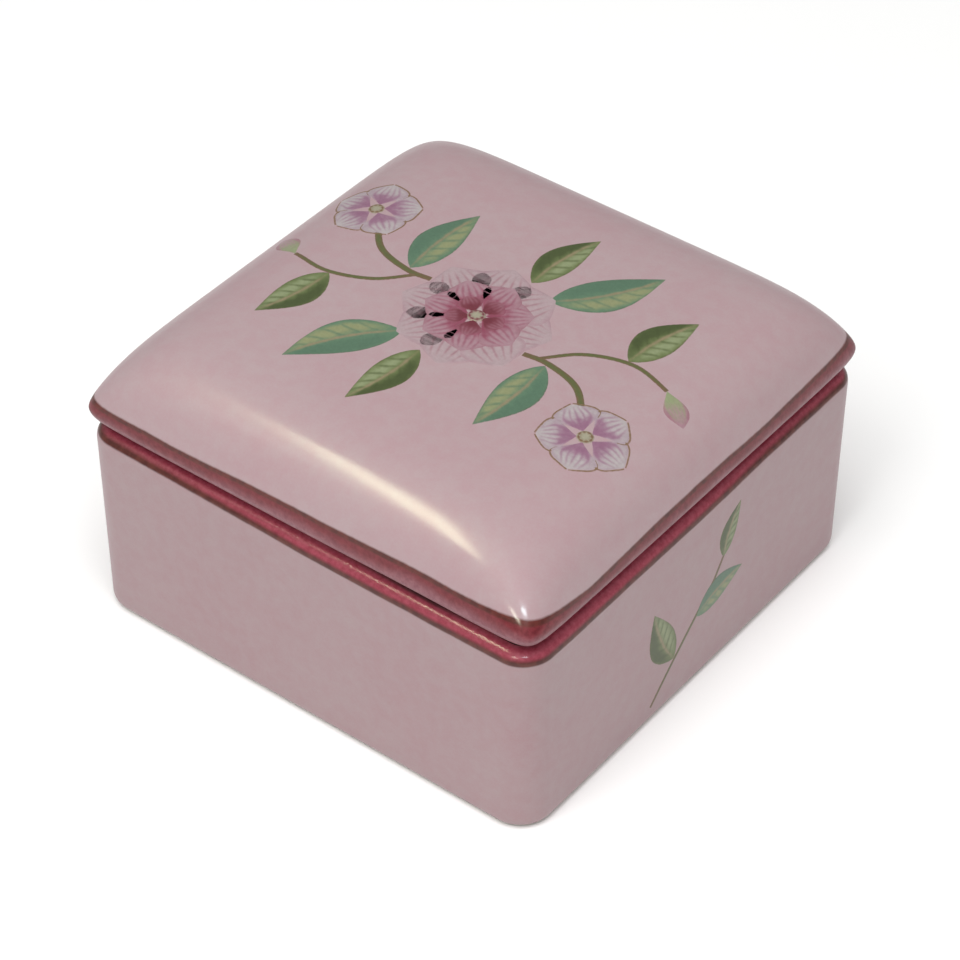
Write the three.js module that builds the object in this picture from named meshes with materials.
// A square porcelain powder box with a loose, pillow-shaped lid.
//
// Two pieces of slip-cast, glazed porcelain: the box body and the lid that lifts off it.
// The lid's edge is rolled under like a bead, and a flange beneath it drops inside the
// body's mouth and keeps it from sliding. Units are millimetres, +Z is up, and the origin
// is the centre of the base. Each piece is one closed skin over a stack of level rings.

import * as THREE from 'three';

// Widths are full widths across the flats, and corners are radii seen from above.
const LID_WIDTH = 100;
const BODY_WIDTH = 99.4;
const BODY_CORNER_AT_RIM = 6;
const BODY_CORNER_AT_BASE = 6.7;
const MOUTH_WIDTH = 90.4;
const MOUTH_CORNER = 5;

// Heights above the table. The lid is widest at LID_EDGE_HEIGHT.
const SEAT_HEIGHT = 41.75;
const LID_EDGE_HEIGHT = 46;
const DOME_TOP = 59.6;

// The body's walls.
const FLOOR_THICKNESS = 5;
const FLOOR_FILLET = 2.5;
const SHOULDER_RADIUS = 2.6;
const MOUTH_EASING = 0.4;

// The foot is a flat ring round a shallow recess.
const BASE_EDGE_RADIUS = 2.4;
const FOOT_RING_WIDTH = 3.6;
const FOOT_RECESS = 1.2;
const FOOT_SLOPE = 1.1;

// Under its widest line the lid rolls in on an arc, then slants down to its seat.
const BEAD_RADIUS = 2.8;
const BEAD_UNDER_ANGLE = 46;

// The lid's outline and its dome share one squareness. A dome of height 1 over a square from
// -1 to 1 is (1 - |x|^n - |y|^n + c |x y|^n)^(1/m): n is the squareness, c the share of each
// corner that is kept, and m the fullness of the dome's shoulders.
const SQUARENESS = 7.5;
const CORNER_KEPT = 0.945;
const FULLNESS = 1.6;
const WALL_AT_CROWN = 4;

// The flange that locates the lid, and the hollow inside it.
const FLANGE_CLEARANCE = 0.9;
const FLANGE_THICKNESS = 3;
const FLANGE_DEPTH = 4;
const FLANGE_EDGE_RADIUS = 1;
const HOLLOW_WIDTH = 85.2;

// How finely the skins are divided.
const CORNER_STEPS = 6;
const LID_SIDE_STEPS = 12;
const ARC_STEPS = 4;
const DOME_RINGS = 11;
const HOLLOW_RINGS = 6;

const radians = THREE.MathUtils.degToRad;

// --------------------------------------------------------------------- rings and skins

// Makes level ring points for each quarter turn of one side's points, anticlockwise.
function fourSides(sidePoints, height) {
  const points = [];
  for (let quarter = 0; quarter < 4; quarter += 1) {
    const turn = quarter * Math.PI / 2;
    const [cos, sin] = [Math.round(Math.cos(turn)), Math.round(Math.sin(turn))];
    for (const [x, y] of sidePoints) {
      const z = typeof height === 'function' ? height(x, y) : height;
      points.push(new THREE.Vector3(x * cos - y * sin, x * sin + y * cos, z));
    }
  }
  return points;
}

// A square ring with circular corners.
function roundedSquare(halfWidth, corner, height) {
  const centre = halfWidth - corner;
  const side = [];
  for (let step = 0; step <= CORNER_STEPS; step += 1) {
    const angle = Math.PI / 2 * step / CORNER_STEPS;
    side.push([centre + corner * Math.cos(angle), centre + corner * Math.sin(angle)]);
  }
  return fourSides(side, height);
}

// A ring of the lid's own outline: the edge of the dome formula above, where it is zero.
// height is a number, or a function of x and y.
function lidRing(halfWidth, height) {
  const side = [];
  for (let step = 0; step < LID_SIDE_STEPS; step += 1) {
    const slope = Math.sin(Math.PI / 2 * (2 * step / LID_SIDE_STEPS - 1));
    const k = Math.abs(slope) ** SQUARENESS;
    const share = 2 / (1 + k + Math.sqrt((1 + k) ** 2 - 4 * CORNER_KEPT * k));
    const x = halfWidth * share ** (1 / SQUARENESS);
    side.push([x, x * slope]);
  }
  return fourSides(side, height);
}

// The share of its full rise that the dome has at x, y.
function domeShare(x, y, halfWidth) {
  const across = Math.abs(x / halfWidth) ** SQUARENESS;
  const along = Math.abs(y / halfWidth) ** SQUARENESS;
  const left = 1 - across - along + CORNER_KEPT * across * along;
  return Math.max(left, 0) ** (1 / FULLNESS);
}

// One closed body over a stack of rings, with both ends closed by a fan.
function skin(rings, firstCentre, lastCentre) {
  const count = rings[0].length;
  const points = [firstCentre, ...rings.flat(), lastCentre];
  const last = points.length - 1;
  const index = (ring, i) => 1 + ring * count + i % count;
  const faces = [];
  for (let i = 0; i < count; i += 1) {
    faces.push(0, index(0, i + 1), index(0, i));
    faces.push(last, index(rings.length - 1, i), index(rings.length - 1, i + 1));
    for (let ring = 0; ring < rings.length - 1; ring += 1) {
      const [a, b] = [index(ring, i), index(ring, i + 1)];
      const [c, d] = [index(ring + 1, i + 1), index(ring + 1, i)];
      faces.push(a, b, c, a, c, d);
    }
  }
  const geometry = new THREE.BufferGeometry().setFromPoints(points);
  geometry.setIndex(faces);
  geometry.computeVertexNormals();
  return geometry;
}

// Angles in radians from start to end in degrees, both included.
function arcAngles(start, end, steps = ARC_STEPS) {
  return Array.from({ length: steps + 1 }, (_, i) => radians(start + (end - start) * i / steps));
}

// Shares of a dome's half-width, from near its centre to 1, closest together at its edge.
function ringShares(count) {
  return Array.from({ length: count }, (_, i) => Math.sin(Math.PI / 2 * (i + 1) / count));
}

// ---------------------------------------------------------------------------- box body

function boxBody() {
  const half = BODY_WIDTH / 2;
  const mouth = MOUTH_WIDTH / 2;
  const shoulderStart = SEAT_HEIGHT - SHOULDER_RADIUS;
  const footInner = half - BASE_EDGE_RADIUS - FOOT_RING_WIDTH;
  const rings = [];
  const ring = (halfWidth, corner, z) => rings.push(roundedSquare(halfWidth, corner, z));

  // Underside: the recess, the slope down from it, and the flat foot ring.
  ring(footInner - FOOT_SLOPE, BODY_CORNER_AT_BASE - FOOT_SLOPE, FOOT_RECESS);
  ring(footInner, BODY_CORNER_AT_BASE, 0);

  // Outside: rounded base edge, upright wall, rounded shoulder.
  for (const angle of arcAngles(0, 90)) {
    const inset = BASE_EDGE_RADIUS * (1 - Math.sin(angle));
    const z = BASE_EDGE_RADIUS * (1 - Math.cos(angle));
    ring(half - inset, BODY_CORNER_AT_BASE - inset, z);
  }
  for (const angle of arcAngles(0, 90)) {
    const inset = SHOULDER_RADIUS * (1 - Math.cos(angle));
    const z = shoulderStart + SHOULDER_RADIUS * Math.sin(angle);
    ring(half - inset, BODY_CORNER_AT_RIM - inset, z);
  }

  // Inside: the seat, the eased mouth, the wall, and the fillet round the floor.
  ring(mouth + MOUTH_EASING, MOUTH_CORNER, SEAT_HEIGHT);
  ring(mouth, MOUTH_CORNER, SEAT_HEIGHT - MOUTH_EASING);
  for (const angle of arcAngles(0, 90)) {
    const inset = FLOOR_FILLET * (1 - Math.cos(angle));
    const z = FLOOR_THICKNESS + FLOOR_FILLET * (1 - Math.sin(angle));
    ring(mouth - inset, MOUTH_CORNER - inset, z);
  }

  return skin(
    rings,
    new THREE.Vector3(0, 0, FOOT_RECESS),
    new THREE.Vector3(0, 0, FLOOR_THICKNESS),
  );
}

// --------------------------------------------------------------------------------- lid

function lid() {
  const half = LID_WIDTH / 2;
  const rise = DOME_TOP - LID_EDGE_HEIGHT;
  const hollowHalf = HOLLOW_WIDTH / 2;
  const hollowTop = DOME_TOP - WALL_AT_CROWN;
  const hollowRise = hollowTop - LID_EDGE_HEIGHT;
  const flangeOuter = MOUTH_WIDTH / 2 - FLANGE_CLEARANCE;
  const flangeInner = flangeOuter - FLANGE_THICKNESS;
  const flangeBottom = SEAT_HEIGHT - FLANGE_DEPTH;
  const rings = [];
  const ring = (halfWidth, z) => rings.push(lidRing(halfWidth, z));

  // Inside of the dome, from its centre outwards.
  const ceiling = (x, y) => LID_EDGE_HEIGHT + hollowRise * domeShare(x, y, hollowHalf);
  for (const share of ringShares(HOLLOW_RINGS)) {
    ring(hollowHalf * share, ceiling);
  }

  // The flange: down its inside, round its lower edge, up its outside to the seat.
  const flangeArcs = [
    [flangeInner + FLANGE_EDGE_RADIUS, arcAngles(180, 270)],
    [flangeOuter - FLANGE_EDGE_RADIUS, arcAngles(270, 360)],
  ];
  for (const [middle, angles] of flangeArcs) {
    for (const angle of angles) {
      const z = flangeBottom + FLANGE_EDGE_RADIUS * (1 + Math.sin(angle));
      ring(middle + FLANGE_EDGE_RADIUS * Math.cos(angle), z);
    }
  }
  ring(flangeOuter, SEAT_HEIGHT);

  // The slanting underside, and the bead's arc up to the widest line.
  const underAngle = radians(BEAD_UNDER_ANGLE);
  const arcInset = BEAD_RADIUS * (1 - Math.cos(underAngle));
  const arcHeight = LID_EDGE_HEIGHT - BEAD_RADIUS * Math.sin(underAngle);
  const seatInset = arcInset + (arcHeight - SEAT_HEIGHT) * Math.tan(underAngle);
  ring(half - seatInset, SEAT_HEIGHT);
  for (const angle of arcAngles(-BEAD_UNDER_ANGLE, 0)) {
    const inset = BEAD_RADIUS * (1 - Math.cos(angle));
    ring(half - inset, LID_EDGE_HEIGHT + BEAD_RADIUS * Math.sin(angle));
  }

  // The dome, from its edge in to the crown.
  const crown = (x, y) => LID_EDGE_HEIGHT + rise * domeShare(x, y, half);
  for (const share of ringShares(DOME_RINGS).slice(0, -1).reverse()) {
    ring(half * share, crown);
  }

  return skin(rings, new THREE.Vector3(0, 0, hollowTop), new THREE.Vector3(0, 0, DOME_TOP));
}

// ---------------------------------------------------------------------------- assembly

const BODY_PINK = 0xb4989a;
const LID_PINK = 0xc0a5a8;
const GLAZE_ROUGHNESS = 0.2;

function piece(name, geometry, color) {
  const material = new THREE.MeshStandardMaterial({
    color,
    roughness: GLAZE_ROUGHNESS,
    metalness: 0,
  });
  const mesh = new THREE.Mesh(geometry, material);
  mesh.name = name;
  return mesh;
}

const group = new THREE.Group();
group.add(piece('box_body', boxBody(), BODY_PINK));
group.add(piece('lid', lid(), LID_PINK));

export default group;
